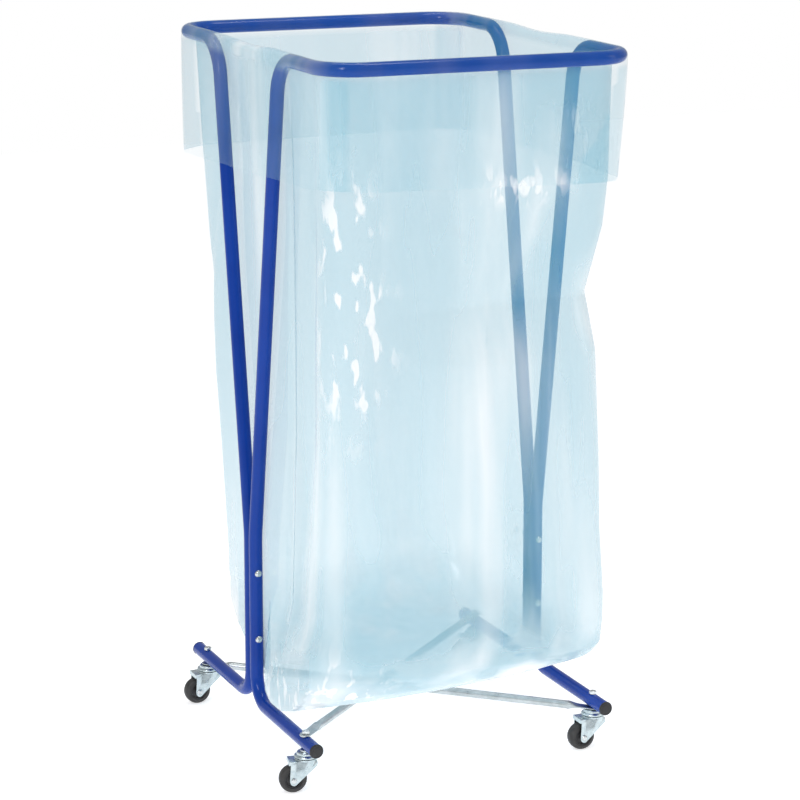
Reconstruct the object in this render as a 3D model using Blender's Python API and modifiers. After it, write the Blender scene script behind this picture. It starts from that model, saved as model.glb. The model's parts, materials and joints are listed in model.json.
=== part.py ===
"""Linen trolley: two bent steel tubes bolted into a V-legged stand that holds a film sack open, on four casters.

Metres, +Z up. The rails run along X, the front of the trolley faces -Y, and the casters stand on z = 0.
Each piece is its own object. Run with: blender --background --python part.py
"""

import math

import bmesh
import bpy
from mathutils import Matrix, Vector

# ---- driving dimensions ----
RAIL_HEIGHT = 1.030  # floor to the centre of the tube that holds the sack
TUBE_RADIUS = 0.010
TUBE_WALL = 0.0015
HALF_WIDTH = 0.2264  # middle plane to the plane of the legs, along X
HALF_DEPTH = 0.305  # middle plane to the centre of a rail, along Y
LEG_TOP_DEPTH = 0.124  # where the sloping leg would meet the level of the rail
LEGS_MEET_HEIGHT = 0.320  # where the sloping leg turns upright
LEG_GAP = 0.0004  # between the two upright legs of a side
FOOT_HEIGHT = 0.072  # floor to the centre of a foot tube
FOOT_REACH = 0.248  # middle plane to the end of a foot tube
FOOT_BOLT_DEPTH = 0.2074
LEG_BOLT_HEIGHTS = {"upper": 0.267, "lower": 0.167}

CORNER_BEND = 0.057
TOP_BEND = 0.060
KNEE_BEND = 0.100
FOOT_BEND = 0.041

GAP = 0.0003  # left between faces that touch on the real trolley
BOLT_RADIUS = 0.00295
BOLT_HOLE = 0.0033
NUT_FLATS = 0.010
NUT_HEIGHT = 0.005
HEAD_HEIGHT = 0.0042

BRACE_RADIUS = 0.006
BRACE_FLAT = 0.0024  # thickness of its flattened ends
BRACE_END = 0.0085  # half the width of a flattened end
BRACE_SIDES = 12

PLUG_FLANGE = 0.0105
PLUG_CAP = 0.003
PLUG_STEM = 0.018

WHEEL_RADIUS = 0.020
WHEEL_WIDTH = 0.018
HUB_RADIUS = 0.0125
TRAIL = 0.019  # swivel axis to axle
FORK_WIDTH = 0.027
FORK_PLATE = 0.0020
FORK_TOP = 0.0483
AXLE_RADIUS = 0.0029
WHEEL_STEPS = 20  # a multiple of 4
ROUND_STEPS = 16

SACK_WALL = 0.001
SACK_OFFSET = 0.0122  # rail centre to the film that lies round it
CUFF_BOTTOM = 0.864
SACK_BOTTOM = 0.0945

# side signs of the four feet, and how far each caster is turned from trailing straight towards -X
FEET = {
    "front_left": (-1, -1, 12),
    "front_right": (1, -1, 1),
    "rear_left": (-1, 1, -1),
    "rear_right": (1, 1, 8),
}

ORIGIN = Vector((0, 0, 0))


def clear_scene():
    for obj in list(bpy.data.objects):
        bpy.data.objects.remove(obj, do_unlink=True)


def new_collection(name):
    made = bpy.data.collections.new(name)
    bpy.context.scene.collection.children.link(made)
    return made


def finish(name, colour, roughness, metallic=0.0, alpha=1.0):
    """A plain Principled material."""
    made = bpy.data.materials.new(name)
    made.use_nodes = True
    shader = made.node_tree.nodes["Principled BSDF"]
    shader.inputs["Base Color"].default_value = (*colour, 1.0)
    shader.inputs["Roughness"].default_value = roughness
    shader.inputs["Metallic"].default_value = metallic
    shader.inputs["Alpha"].default_value = alpha
    return made


# ---- paths and meshes ----
def rounded_path(corners, radii, turn=18.0):
    """The corners joined by straight runs, each inner corner replaced by an arc with a point every `turn` degrees."""
    points = [Vector(corners[0])]
    for before, corner, after, radius in zip(corners, corners[1:], corners[2:], radii):
        corner = Vector(corner)
        back = (Vector(before) - corner).normalized()
        on = (Vector(after) - corner).normalized()
        half = back.angle(on) / 2
        start = corner + back * radius / math.tan(half)
        end = corner + on * radius / math.tan(half)
        centre = corner + (back + on).normalized() * radius / math.sin(half)
        axis = (start - centre).cross(end - centre)
        swept = math.pi - 2 * half
        steps = max(2, round(math.degrees(swept) / turn))
        for step in range(steps + 1):
            turned = Matrix.Rotation(swept * step / steps, 3, axis)
            points.append(centre + turned @ (start - centre))
    points.append(Vector(corners[-1]))
    return points


def weld(mesh, distance=1e-6):
    bm = bmesh.new()
    bm.from_mesh(mesh)
    bmesh.ops.remove_doubles(bm, verts=bm.verts, dist=distance)
    bmesh.ops.recalc_face_normals(bm, faces=bm.faces)
    bm.to_mesh(mesh)
    bm.free()
    return mesh


def evaluated_mesh(obj):
    """The object's mesh with its modifiers applied. The object is removed."""
    graph = bpy.context.evaluated_depsgraph_get()
    mesh = bpy.data.meshes.new_from_object(obj.evaluated_get(graph))
    bpy.data.objects.remove(obj, do_unlink=True)
    return mesh


def tube_mesh(points, radius, resolution):
    """A round bar along the points, closed at both ends."""
    curve = bpy.data.curves.new("tube", "CURVE")
    curve.dimensions = "3D"
    curve.bevel_depth = radius
    curve.bevel_resolution = resolution
    curve.use_fill_caps = True
    spline = curve.splines.new("POLY")
    spline.points.add(len(points) - 1)
    for spot, point in zip(spline.points, points):
        spot.co = (*point, 1.0)
    guide = bpy.data.objects.new("tube", curve)
    bpy.context.scene.collection.objects.link(guide)
    bpy.context.view_layer.update()
    return weld(evaluated_mesh(guide))


def turned_mesh(profile, steps):
    """The profile of (radius, height) pairs turned round Z. It runs top to bottom on its outer side."""
    bm = bmesh.new()
    spots = [bm.verts.new((radius, 0, height)) for radius, height in profile]
    for first, second in zip(spots, spots[1:] + spots[:1]):
        bm.edges.new((first, second))
    mesh = bpy.data.meshes.new("turned")
    bm.to_mesh(mesh)
    bm.free()
    obj = bpy.data.objects.new("turned", mesh)
    bpy.context.scene.collection.objects.link(obj)
    screw = obj.modifiers.new("screw", "SCREW")
    screw.steps = screw.render_steps = steps
    screw.use_merge_vertices = True
    screw.merge_threshold = 1e-6
    bpy.context.view_layer.update()
    return weld(evaluated_mesh(obj))


def prism_mesh(outline, low, high):
    """The closed outline of (x, z) pairs, extruded from y = low to y = high."""
    bm = bmesh.new()
    face = bm.faces.new([bm.verts.new((x, low, z)) for x, z in outline])
    moved = bmesh.ops.extrude_face_region(bm, geom=[face])["geom"]
    spots = [item for item in moved if isinstance(item, bmesh.types.BMVert)]
    bmesh.ops.translate(bm, verts=spots, vec=(0, high - low, 0))
    bmesh.ops.recalc_face_normals(bm, faces=bm.faces)
    mesh = bpy.data.meshes.new("prism")
    bm.to_mesh(mesh)
    bm.free()
    return mesh


def loft_mesh(loops, cap_start, cap_end):
    """Skins loops that all have the same number of points, and closes the chosen ends with a fan."""
    bm = bmesh.new()
    rows = [[bm.verts.new(point) for point in loop] for loop in loops]
    for upper, lower in zip(rows, rows[1:]):
        for at in range(len(upper)):
            after = (at + 1) % len(upper)
            bm.faces.new((upper[at], upper[after], lower[after], lower[at]))
    for row, wanted in ((rows[0], cap_start), (rows[-1], cap_end)):
        if wanted:
            middle = bm.verts.new(sum((spot.co for spot in row), Vector()) / len(row))
            for at in range(len(row)):
                bm.faces.new((row[at], row[(at + 1) % len(row)], middle))
    bmesh.ops.recalc_face_normals(bm, faces=bm.faces)
    mesh = bpy.data.meshes.new("loft")
    bm.to_mesh(mesh)
    bm.free()
    return mesh


def cylinder_mesh(radius, length, segments, place):
    """A closed cylinder along its own Z, moved by the matrix `place`."""
    bm = bmesh.new()
    bmesh.ops.create_cone(
        bm, cap_ends=True, segments=segments, radius1=radius, radius2=radius, depth=length, matrix=place
    )
    mesh = bpy.data.meshes.new("cylinder")
    bm.to_mesh(mesh)
    bm.free()
    return mesh


def combined(mesh, other, operation):
    """The mesh after an exact Boolean with the other. Both inputs are used up."""
    body = bpy.data.objects.new("body", mesh)
    tool = bpy.data.objects.new("tool", other)
    for obj in (body, tool):
        bpy.context.scene.collection.objects.link(obj)
    boolean = body.modifiers.new("cut", "BOOLEAN")
    boolean.object = tool
    boolean.operation = operation
    bpy.context.view_layer.update()
    made = evaluated_mesh(body)
    bpy.data.objects.remove(tool, do_unlink=True)
    return made


def drilled(mesh, holes, radius, axis, length):
    """Cuts a round hole along `axis` through each of the points. Its corners stay off the planes of symmetry."""
    turned = Vector(axis).to_track_quat("Z", "Y").to_matrix().to_4x4()
    twist = Matrix.Rotation(math.radians(11), 4, "Z")
    for hole in holes:
        place = Matrix.Translation(hole) @ turned @ twist
        mesh = combined(mesh, cylinder_mesh(radius, length, 12, place), "DIFFERENCE")
    return mesh


# ---- pieces ----
def place(name, mesh, material, location=ORIGIN, turn=0.0, parent=None):
    """A finished piece in the trolley's collection."""
    obj = bpy.data.objects.new(name, mesh)
    obj.location = location
    obj.rotation_euler = (0, 0, turn)
    obj.parent = parent
    PARTS.objects.link(obj)
    if not mesh.materials:
        mesh.materials.append(material)
        mesh.shade_smooth()
        mesh.set_sharp_from_angle(angle=math.radians(35))
    return obj


def side_path(x_sign, y_sign, beyond=0.0):
    """The corners from the middle of a rail to one foot end, and the bends at the inner ones."""
    x = x_sign * HALF_WIDTH
    upright = y_sign * (TUBE_RADIUS + LEG_GAP / 2)
    corners = [
        (0, y_sign * HALF_DEPTH, RAIL_HEIGHT),
        (x, y_sign * HALF_DEPTH, RAIL_HEIGHT),
        (x, y_sign * LEG_TOP_DEPTH, RAIL_HEIGHT),
        (x, upright, LEGS_MEET_HEIGHT),
        (x, upright, FOOT_HEIGHT),
        (x, y_sign * (FOOT_REACH + beyond), FOOT_HEIGHT),
    ]
    return rounded_path(corners, (CORNER_BEND, TOP_BEND, KNEE_BEND, FOOT_BEND))


def frame_tube_mesh(y_sign):
    """One continuous bent tube: foot, leg, rail, leg, foot. It is hollow, open at both ends and drilled."""

    def whole(beyond=0.0):
        return side_path(-1, y_sign, beyond)[:0:-1] + side_path(1, y_sign, beyond)[1:]

    outside = tube_mesh(whole(), TUBE_RADIUS, 4)
    inside = tube_mesh(whole(beyond=0.004), TUBE_RADIUS - TUBE_WALL, 3)
    mesh = combined(outside, inside, "DIFFERENCE")
    legs = y_sign * (TUBE_RADIUS + LEG_GAP / 2)
    for x_sign in (-1, 1):
        x = x_sign * HALF_WIDTH
        through_leg = [(x, legs, height) for height in LEG_BOLT_HEIGHTS.values()]
        mesh = drilled(mesh, through_leg, BOLT_HOLE, (0, 1, 0), 3 * TUBE_RADIUS)
        through_foot = [(x, y_sign * FOOT_BOLT_DEPTH, FOOT_HEIGHT)]
        mesh = drilled(mesh, through_foot, BOLT_HOLE, (0, 0, 1), 3 * TUBE_RADIUS)
    return mesh


def end_plug_mesh():
    """A push-in plug along +Z: a domed cap on a hollow stem."""
    stem = TUBE_RADIUS - TUBE_WALL - 0.0006
    bore = stem - 0.0015
    profile = [
        (0, PLUG_CAP),
        (PLUG_FLANGE * 0.72, PLUG_CAP * 0.93),
        (PLUG_FLANGE * 0.95, PLUG_CAP * 0.6),
        (PLUG_FLANGE, GAP),
        (stem, GAP),
        (stem, -PLUG_STEM),
        (bore, -PLUG_STEM),
        (bore, -PLUG_CAP),
        (0, -PLUG_CAP),
    ]
    return turned_mesh(profile, ROUND_STEPS)


def bolt_mesh(shank_length, domed):
    """A bolt along Z whose head stands on z = 0, with its shank below."""
    if domed:
        head = [(0, 0.0034), (0.0024, 0.0031), (0.0042, 0.0019), (0.0052, 0.0004), (0.0052, 0)]
        profile = head + [(BOLT_RADIUS, 0), (BOLT_RADIUS, -shank_length), (0, -shank_length)]
        return turned_mesh(profile, 16)
    hexagon = hexagon_mesh(0, HEAD_HEIGHT, 0)
    middle = Matrix.Translation((0, 0, 0.001 - shank_length / 2))
    return combined(hexagon, cylinder_mesh(BOLT_RADIUS, shank_length + 0.002, 16, middle), "UNION")


def hexagon_mesh(low, high, bore):
    """A hexagon between two heights, with a bore if its radius isn't 0."""
    middle = Matrix.Translation((0, 0, (low + high) / 2))
    corner = NUT_FLATS / math.sqrt(3)
    mesh = cylinder_mesh(corner, high - low, 6, middle)
    if bore:
        mesh = combined(mesh, cylinder_mesh(bore, 4 * (high - low), 16, middle), "DIFFERENCE")
    return mesh


def brace_mesh(length):
    """A round tube along X, pressed flat and drilled at both ends."""
    flat = (BRACE_END, BRACE_FLAT / 2)
    full = (BRACE_RADIUS, BRACE_RADIUS)
    half = length / 2
    sections = [
        (half + 0.0095, (BRACE_END * 0.45, flat[1])),
        (half + 0.0075, (BRACE_END * 0.8, flat[1])),
        (half + 0.004, flat),
        (half - 0.022, flat),
        (half - 0.030, (0.0078, 0.0036)),
        (half - 0.040, full),
    ]
    stations = [(-x, size) for x, size in sections] + [(x, size) for x, size in reversed(sections)]
    loops = []
    for x, (wide, thick) in stations:
        turns = [math.tau * (step + 0.5) / BRACE_SIDES for step in range(BRACE_SIDES)]
        loops.append([brace_point(x, wide, thick, turn) for turn in turns])
    mesh = loft_mesh(loops, True, True)
    return drilled(mesh, [(-half, 0, 0), (half, 0, 0)], BOLT_HOLE, (0, 0, 1), 0.02)


def brace_point(x, wide, thick, turn):
    """A point of a section that is round where it is as wide as thick, and nearly square-sided where it is flat."""
    power = 1.0 if wide == thick else 0.35
    lift = math.copysign(abs(math.sin(turn)) ** power, math.sin(turn))
    return (x, wide * math.cos(turn), thick * lift)


def ring_mesh(inner, outer, low, high):
    return turned_mesh([(outer, high), (outer, low), (inner, low), (inner, high)], ROUND_STEPS)


def caster_head_mesh():
    """The fixed part of a caster: a two-step cup over the ball race, and the hollow rivet that holds the fork."""
    top = FOOT_HEIGHT - TUBE_RADIUS - 2 * GAP - BRACE_FLAT
    profile = [
        (0.0122, top),
        (0.0132, top - 0.0010),
        (0.0134, 0.0552),
        (0.0160, 0.0545),
        (0.0170, 0.0532),
        (0.0170, 0.0515),
        (0.0156, 0.0515),
        (0.0150, 0.0533),
        (0.0056, 0.0533),
        (0.0056, 0.0459),
        (0.0085, 0.0459),
        (0.0080, 0.0442),
        (BOLT_HOLE, 0.0442),
        (BOLT_HOLE, top),
    ]
    return turned_mesh(profile, ROUND_STEPS)


def fork_outline():
    """The fork's side: a long top, a trailing edge that drops to the axle and a front edge that slants back to it."""
    eye = 0.0075
    outline = [(-0.0150, 0.0455), (-0.0135, FORK_TOP), (0.0255, FORK_TOP), (0.0262, 0.0430), (0.0235, 0.0430)]
    for step in range(7):
        turn = math.radians(10 - 25 * step)
        outline.append((TRAIL + eye * math.cos(turn) * 0.8, WHEEL_RADIUS + eye * math.sin(turn)))
    return outline + [(0.0015, 0.0270), (-0.0140, 0.0405)]


def fork_mesh():
    """A pressed fork: top plate with the ball race, two side plates and a short wall across the front."""
    roof = FORK_TOP - FORK_PLATE
    inner = FORK_WIDTH / 2 - FORK_PLATE
    mesh = prism_mesh(fork_outline(), -FORK_WIDTH / 2, FORK_WIDTH / 2)
    tunnel = [
        (-0.0128, roof),
        (0.0240, roof),
        (0.0240, 0.0425),
        (0.0500, 0.0425),
        (0.0500, 0.0),
        (-0.0400, 0.0),
        (-0.0400, 0.0385),
        (-0.0128, 0.0385),
    ]
    mesh = combined(mesh, prism_mesh(tunnel, -inner, inner), "DIFFERENCE")
    race = ring_mesh(0.0056, 0.0164, FORK_TOP - 0.0005, FORK_TOP + 0.0018)
    mesh = combined(mesh, race, "UNION")
    mesh = drilled(mesh, [(0, 0, FORK_TOP)], 0.0060, (0, 0, 1), 0.012)
    return drilled(mesh, [(TRAIL, 0, WHEEL_RADIUS)], AXLE_RADIUS + 0.0004, (0, 1, 0), 2 * FORK_WIDTH)


def along_y(mesh):
    """Lays a piece turned round Z along Y, so a wheel's flat facet faces down."""
    mesh.transform(Matrix.Rotation(math.pi / 2, 4, "X"))
    return mesh


def tyre_mesh():
    """A rubber tyre whose crown is a flat band. Its facets, not its corners, lie on the stated radius."""
    crown = WHEEL_RADIUS / math.cos(math.pi / WHEEL_STEPS)
    half = WHEEL_WIDTH / 2
    side = [(crown, 0.0032), (crown - 0.0008, 0.0058), (crown - 0.0028, 0.0080), (crown - 0.0052, half)]
    outer = side[::-1] + [(radius, -y) for radius, y in side]
    profile = outer + [(HUB_RADIUS + GAP, -half), (HUB_RADIUS + GAP, half)]
    mesh = turned_mesh(profile, WHEEL_STEPS)
    # a corner would face down, so half a step puts the middle of a facet there
    mesh.transform(Matrix.Rotation(math.pi / WHEEL_STEPS, 4, "Z"))
    return along_y(mesh)


def hub_mesh():
    """A plastic wheel centre with a raised boss round the axle on both sides."""
    bore = AXLE_RADIUS + 0.00035
    half = WHEEL_WIDTH / 2
    rim = half - 0.0008
    web = half - 0.0034
    boss = half + 0.0012
    near = [(0.0052, boss), (0.0056, web), (0.0105, web), (0.0108, rim), (HUB_RADIUS, rim)]
    far = [(radius, -y) for radius, y in reversed(near)]
    profile = near + far + [(bore, -boss), (bore, boss)]
    return along_y(turned_mesh(profile, ROUND_STEPS))


def axle_mesh():
    """A rivet through the fork, with a low head outside each side plate."""
    seat = FORK_WIDTH / 2 + GAP
    near = [(0, seat + 0.0016), (0.0030, seat + 0.0013), (0.0044, seat), (AXLE_RADIUS, seat)]
    far = [(radius, -y) for radius, y in reversed(near)]
    return along_y(turned_mesh(near + far, 16))


# ---- sack ----
def rounded_rectangle(half_x, half_y, radius, height, corner_steps=5, side_steps=4):
    """A level loop of points round a rectangle with round corners, the same number for any size."""
    loop = []
    for quarter, (x_sign, y_sign) in enumerate(((1, 1), (-1, 1), (-1, -1), (1, -1))):
        centre = Vector((x_sign * (half_x - radius), y_sign * (half_y - radius), height))
        for step in range(corner_steps + 1):
            turn = math.pi / 2 * (quarter + step / corner_steps)
            loop.append(centre + radius * Vector((math.cos(turn), math.sin(turn), 0)))
        nxt = ((-1, 1), (-1, -1), (1, -1), (1, 1))[quarter]
        turn = math.pi / 2 * (quarter + 1)
        ahead = Vector((nxt[0] * (half_x - radius), nxt[1] * (half_y - radius), height))
        ahead += radius * Vector((math.cos(turn), math.sin(turn), 0))
        start = loop[-1].copy()
        loop.extend(start.lerp(ahead, step / side_steps) for step in range(1, side_steps))
    return loop


def round_the_rail(offset, height):
    return rounded_rectangle(HALF_WIDTH + offset, HALF_DEPTH + offset, CORNER_BEND + offset, height)


def sack_mesh():
    """A film sack: a cuff outside the rails, over them, down between the legs and shut at the bottom."""
    loops = [
        round_the_rail(SACK_OFFSET, CUFF_BOTTOM),
        round_the_rail(SACK_OFFSET, (CUFF_BOTTOM + RAIL_HEIGHT) / 2),
    ]
    for step in range(5):
        turn = math.pi * step / 4
        loops.append(round_the_rail(SACK_OFFSET * math.cos(turn), RAIL_HEIGHT + SACK_OFFSET * math.sin(turn)))
    inside_x = HALF_WIDTH - SACK_OFFSET
    inside_y = HALF_DEPTH - SACK_OFFSET
    hang = [
        (0.86, 0, 0.012),
        (0.62, 0, 0.028),
        (0.36, 0, 0.034),
        (0.22, 0.001, 0.044),
        (0.15, 0.008, 0.070),
        (0.115, 0.022, 0.105),
        (SACK_BOTTOM + 0.004, 0.050, 0.150),
        (SACK_BOTTOM, 0.090, 0.200),
    ]
    for height, in_x, in_y in hang:
        loops.append(rounded_rectangle(inside_x - in_x, inside_y - in_y, 0.045, height))
    sheet = bpy.data.objects.new("sheet", loft_mesh(loops, False, True))
    bpy.context.scene.collection.objects.link(sheet)
    wall = sheet.modifiers.new("wall", "SOLIDIFY")
    wall.thickness = SACK_WALL
    wall.offset = 0.0
    bpy.context.view_layer.update()
    return weld(evaluated_mesh(sheet))


# ---- assembly ----
def add_frame(root, paint, plastic, zinc):
    for side, y_sign in (("front", -1), ("rear", 1)):
        place(f"{side}_frame_tube", frame_tube_mesh(y_sign), paint, parent=root)
    plug = end_plug_mesh()
    for foot, (x_sign, y_sign, _) in FEET.items():
        obj = place(f"foot_plug_{foot}", plug, plastic, parent=root)
        obj.location = (x_sign * HALF_WIDTH, y_sign * FOOT_REACH, FOOT_HEIGHT)
        obj.rotation_euler = (-y_sign * math.pi / 2, 0, 0)
    reach = 2 * TUBE_RADIUS + LEG_GAP / 2 + GAP
    bolt = bolt_mesh(2 * reach + NUT_HEIGHT + 0.002, domed=True)
    nut = hexagon_mesh(GAP, GAP + NUT_HEIGHT, BOLT_HOLE)
    for side, x_sign in (("left", -1), ("right", 1)):
        for level, height in LEG_BOLT_HEIGHTS.items():
            head = place(f"leg_bolt_{side}_{level}", bolt, zinc, parent=root)
            head.location = (x_sign * HALF_WIDTH, -reach, height)
            head.rotation_euler = (math.pi / 2, 0, 0)
            back = place(f"leg_nut_{side}_{level}", nut, zinc, parent=root)
            back.location = (x_sign * HALF_WIDTH, reach, height)
            back.rotation_euler = (-math.pi / 2, 0, 0)


def add_braces(root, zinc):
    """The upper brace lies on the feet from front left to rear right, the lower one under the other two."""
    mesh = brace_mesh(2 * math.hypot(HALF_WIDTH, FOOT_BOLT_DEPTH))
    lean = math.atan2(FOOT_BOLT_DEPTH, HALF_WIDTH)
    clear = TUBE_RADIUS + GAP + BRACE_FLAT / 2
    place("cross_brace_upper", mesh, zinc, (0, 0, FOOT_HEIGHT + clear), lean, root)
    place("cross_brace_lower", mesh, zinc, (0, 0, FOOT_HEIGHT - clear), -lean, root)


def add_foot_fasteners(root, zinc):
    stack = BRACE_FLAT + GAP
    shank = FOOT_HEIGHT + TUBE_RADIUS + stack + GAP - 0.0370
    upper_bolt = bolt_mesh(shank, domed=False)
    lower_bolt = bolt_mesh(shank - stack, domed=False)
    nut = hexagon_mesh(-NUT_HEIGHT, 0, BOLT_HOLE)
    spacer = ring_mesh(BOLT_HOLE, 0.0085, -BRACE_FLAT, 0)
    for foot, (x_sign, y_sign, _) in FEET.items():
        spot = Vector((x_sign * HALF_WIDTH, y_sign * FOOT_BOLT_DEPTH, 0))
        brace_on_top = x_sign == y_sign
        seat = FOOT_HEIGHT + TUBE_RADIUS + GAP + (stack if brace_on_top else 0)
        bolt = upper_bolt if brace_on_top else lower_bolt
        place(f"foot_bolt_{foot}", bolt, zinc, spot + Vector((0, 0, seat)), 0.0, root)
        place(f"foot_nut_{foot}", nut, zinc, spot + Vector((0, 0, 0.0442 - GAP)), 0.0, root)
        if brace_on_top:
            under = Vector((0, 0, FOOT_HEIGHT - TUBE_RADIUS - GAP))
            place(f"foot_spacer_{foot}", spacer, zinc, spot + under, 0.0, root)


def add_casters(root, zinc, rubber, core):
    """Each fork turns on its foot bolt, and carries its wheel on an axle behind that."""
    head = caster_head_mesh()
    balls = ring_mesh(0.0090, 0.0128, FORK_TOP + 0.0021, 0.0530)
    fork = fork_mesh()
    axle = axle_mesh()
    hub = hub_mesh()
    tyre = tyre_mesh()
    for foot, (x_sign, y_sign, turned) in FEET.items():
        spot = Vector((x_sign * HALF_WIDTH, y_sign * FOOT_BOLT_DEPTH, 0))
        turn = math.radians(180 - turned)
        place(f"caster_head_{foot}", head, zinc, spot, turn, root)
        place(f"ball_race_{foot}", balls, zinc, spot, turn, root)
        arm = place(f"caster_fork_{foot}", fork, zinc, spot, turn, root)
        wheel_centre = (TRAIL, 0, WHEEL_RADIUS)
        place(f"wheel_axle_{foot}", axle, zinc, wheel_centre, parent=arm)
        place(f"wheel_hub_{foot}", hub, core, wheel_centre, parent=arm)
        place(f"wheel_tyre_{foot}", tyre, rubber, wheel_centre, parent=arm)


def centre_over_origin(root):
    """Moves the whole trolley along X and Y, so that its bounding box stands centred on the origin."""
    bpy.context.view_layer.update()
    corners = [obj.matrix_world @ vertex.co for obj in PARTS.objects if obj.data for vertex in obj.data.vertices]
    for axis in (0, 1):
        values = [corner[axis] for corner in corners]
        root.location[axis] -= (min(values) + max(values)) / 2


clear_scene()
PARTS = new_collection("linen_trolley")
trolley = bpy.data.objects.new("trolley", None)
PARTS.objects.link(trolley)

blue_paint = finish("blue powder coat", (0.02, 0.07, 0.36), 0.3)
black_plastic = finish("black plastic", (0.015, 0.016, 0.018), 0.45)
zinc_plate = finish("bright zinc", (0.62, 0.66, 0.68), 0.32, metallic=0.9)
black_rubber = finish("black rubber", (0.025, 0.025, 0.028), 0.6)
wheel_core = finish("dark wheel centre", (0.03, 0.032, 0.035), 0.5)
clear_film = finish("clear film", (0.75, 0.9, 0.95), 0.1, alpha=0.35)

add_frame(trolley, blue_paint, black_plastic, zinc_plate)
add_braces(trolley, zinc_plate)
add_foot_fasteners(trolley, zinc_plate)
add_casters(trolley, zinc_plate, black_rubber, wheel_core)
place("sack", sack_mesh(), clear_film, parent=trolley)
centre_over_origin(trolley)
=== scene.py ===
"""Linen trolley: finished surfaces of a V-legged tube stand, its four casters and the film sack it holds.

Metres, +Z up, the front faces -Y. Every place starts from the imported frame.
"""

import json
import math

import bmesh
import bpy
import numpy as np
from mathutils import Matrix, Vector, noise


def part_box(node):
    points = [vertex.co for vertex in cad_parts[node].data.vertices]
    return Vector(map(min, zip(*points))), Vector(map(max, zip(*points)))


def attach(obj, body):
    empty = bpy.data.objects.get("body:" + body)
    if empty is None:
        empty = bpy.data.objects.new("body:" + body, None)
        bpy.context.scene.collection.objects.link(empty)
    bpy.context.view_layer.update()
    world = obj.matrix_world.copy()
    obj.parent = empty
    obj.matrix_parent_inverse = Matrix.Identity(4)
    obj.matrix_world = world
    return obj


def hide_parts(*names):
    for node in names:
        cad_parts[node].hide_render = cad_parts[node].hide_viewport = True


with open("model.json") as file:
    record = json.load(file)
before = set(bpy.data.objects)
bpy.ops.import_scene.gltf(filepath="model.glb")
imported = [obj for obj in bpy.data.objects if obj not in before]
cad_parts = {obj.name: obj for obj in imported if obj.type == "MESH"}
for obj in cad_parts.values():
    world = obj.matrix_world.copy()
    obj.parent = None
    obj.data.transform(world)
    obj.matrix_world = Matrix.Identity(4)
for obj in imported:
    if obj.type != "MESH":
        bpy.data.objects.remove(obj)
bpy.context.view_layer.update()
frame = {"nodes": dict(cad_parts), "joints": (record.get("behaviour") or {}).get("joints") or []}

FEET = ("front_left", "front_right", "rear_left", "rear_right")
SIDES = {"front": -1, "rear": 1}

# ---- sizes repeated from the frame's design ----
TUBE_RADIUS = 0.010
LEG_TOP_DEPTH = 0.124
LEGS_MEET_HEIGHT = 0.320
UPRIGHT_DEPTH = 0.0102
FOOT_REACH = 0.248
TUBE_BENDS = (0.057, 0.060, 0.100, 0.041)
BRACE_RADIUS = 0.006
BRACE_FLAT = 0.0024
BRACE_END = 0.0085
BRACE_RUN = 0.020  # length of a pressed end, and of its run-out
BRACE_TIP = 0.0095  # how far the end reaches past its bolt
BRACE_NOSE = 0.0012
HEX_FLATS = 0.010
HEX_HEAD = 0.0042
DOME_HEIGHT = 0.0034
HUB_RADIUS = 0.0125
AXLE_RADIUS = 0.0029
FORK_HALF = 0.0135
HEAD_TOP = 0.0590

tube_low, tube_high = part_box("front_frame_tube")
rear_low, rear_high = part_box("rear_frame_tube")
MID_X = (tube_low.x + tube_high.x) / 2
HALF_WIDTH = (tube_high.x - tube_low.x) / 2 - TUBE_RADIUS
HALF_DEPTH = rear_high.y - TUBE_RADIUS
RAIL_HEIGHT = tube_high.z - TUBE_RADIUS
FOOT_HEIGHT = tube_low.z + TUBE_RADIUS
JOINTS = {joint["name"]: joint for joint in frame["joints"]}


# ---- meshes ----
def new_object(name, mesh):
    made = bpy.data.objects.new(name, mesh)
    bpy.context.scene.collection.objects.link(made)
    return made


def plain_mesh(made):
    """The object's mesh with its modifiers applied. The object is removed."""
    graph = bpy.context.evaluated_depsgraph_get()
    mesh = bpy.data.meshes.new_from_object(made.evaluated_get(graph))
    bpy.data.objects.remove(made, do_unlink=True)
    return mesh


def cleaned(mesh, distance=1e-6):
    bm = bmesh.new()
    bm.from_mesh(mesh)
    bmesh.ops.remove_doubles(bm, verts=bm.verts, dist=distance)
    bmesh.ops.dissolve_degenerate(bm, edges=bm.edges, dist=distance)
    bmesh.ops.recalc_face_normals(bm, faces=bm.faces)
    bm.to_mesh(mesh)
    bm.free()
    return mesh


def soften(mesh, angle=35):
    mesh.shade_smooth()
    mesh.set_sharp_from_angle(angle=math.radians(angle))
    return mesh


def rounded_path(corners, radii, turn=4.0):
    """The corners joined by straight runs, each inner corner replaced by an arc."""
    points = [Vector(corners[0])]
    for before, corner, after, radius in zip(corners, corners[1:], corners[2:], radii):
        corner = Vector(corner)
        back = (Vector(before) - corner).normalized()
        on = (Vector(after) - corner).normalized()
        half = back.angle(on) / 2
        start = corner + back * radius / math.tan(half)
        end = corner + on * radius / math.tan(half)
        centre = corner + (back + on).normalized() * radius / math.sin(half)
        axis = (start - centre).cross(end - centre)
        swept = math.pi - 2 * half
        steps = max(2, round(math.degrees(swept) / turn))
        for step in range(steps + 1):
            turned = Matrix.Rotation(swept * step / steps, 3, axis)
            points.append(centre + turned @ (start - centre))
    points.append(Vector(corners[-1]))
    return points


def bar_mesh(points, radius, resolution=8):
    curve = bpy.data.curves.new("bar", "CURVE")
    curve.dimensions = "3D"
    curve.bevel_depth = radius
    curve.bevel_resolution = resolution
    curve.use_fill_caps = True
    spline = curve.splines.new("POLY")
    spline.points.add(len(points) - 1)
    for spot, point in zip(spline.points, points):
        spot.co = (*point, 1.0)
    made = new_object("bar", curve)
    bpy.context.view_layer.update()
    return cleaned(plain_mesh(made))


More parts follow.
